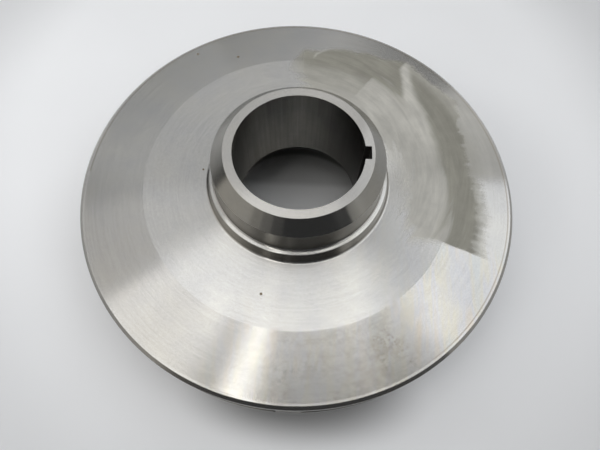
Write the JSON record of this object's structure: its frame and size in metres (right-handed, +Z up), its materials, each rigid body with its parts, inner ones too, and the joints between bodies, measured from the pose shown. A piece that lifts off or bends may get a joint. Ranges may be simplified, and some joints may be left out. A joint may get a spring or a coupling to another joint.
{
  "type": "pump impeller",
  "caption": "Closed radial pump impeller: keyed hub with a broad bevel, set in a coned back shroud, backward-curved vanes, and a front shroud whose ringed neck forms the suction eye.",
  "frame": {"origin": "on the shaft's axis, at the end face of the suction eye's wear ring, where the part stands", "axes": "+Z up along the shaft's axis, from the suction eye to the hub's end face; +X through the middle of the keyway"},
  "size_m": [0.322, 0.322, 0.1088],
  "materials": {
    "turned_steel": "finely turned stainless steel, satin with concentric tool marks",
    "bored_steel": "smoothly turned and bored stainless steel",
    "milled_steel": "duller stainless steel of the water passages"
  },
  "bodies": {
    "root": {"hub_sleeve": "bored_steel", "back_shroud": "turned_steel", "front_shroud": "turned_steel", "eye_wear_ring": "bored_steel", "vane_1": "milled_steel", "vane_2": "milled_steel", "vane_3": "milled_steel", "vane_4": "milled_steel", "vane_5": "milled_steel", "vane_6": "milled_steel", "vane_7": "milled_steel"}
  },
  "joints": []
}
